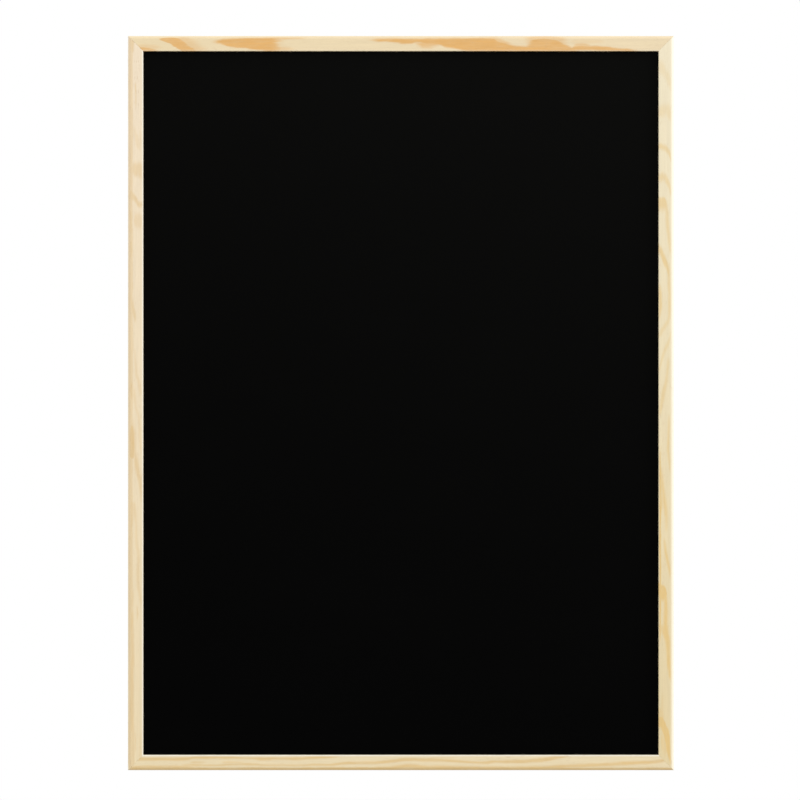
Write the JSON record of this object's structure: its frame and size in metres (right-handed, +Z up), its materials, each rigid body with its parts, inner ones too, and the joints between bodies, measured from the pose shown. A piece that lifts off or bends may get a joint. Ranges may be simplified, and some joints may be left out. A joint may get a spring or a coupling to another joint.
{
  "type": "framed chalkboard",
  "caption": "Upright wall chalkboard: a thin matt black writing sheet in a narrow mitred pine frame with a rounded outer edge, hung from the back of the top rail.",
  "frame": {"origin": "midway between the two hangers, at the height where wall nails bear in their notches, on the plane of the frame's flat back", "axes": "+X to the right seen from the front, +Y back towards the wall, +Z up; the writing surface faces -Y"},
  "size_m": [0.58, 0.0147, 0.78],
  "materials": {
    "pine": "pale softwood, planed and clear-coated satin, honey-coloured grain",
    "blackboard_coating": "matt black writing coat with a fine tooth",
    "hardboard": "raw brown hardboard, mesh-textured back",
    "zinc_steel": "bright zinc-plated steel"
  },
  "bodies": {
    "root": {"top_rail": "pine", "bottom_rail": "pine", "left_stile": "pine", "right_stile": "pine", "chalk_surface": "blackboard_coating", "backing_board": "hardboard", "corner_nail_top_left": "zinc_steel", "corner_nail_top_right": "zinc_steel", "corner_nail_bottom_left": "zinc_steel", "corner_nail_bottom_right": "zinc_steel", "hanger_left": "zinc_steel", "hanger_right": "zinc_steel", "hanger_nail_left_outer": "zinc_steel", "hanger_nail_left_inner": "zinc_steel", "hanger_nail_right_inner": "zinc_steel", "hanger_nail_right_outer": "zinc_steel"}
  },
  "joints": []
}
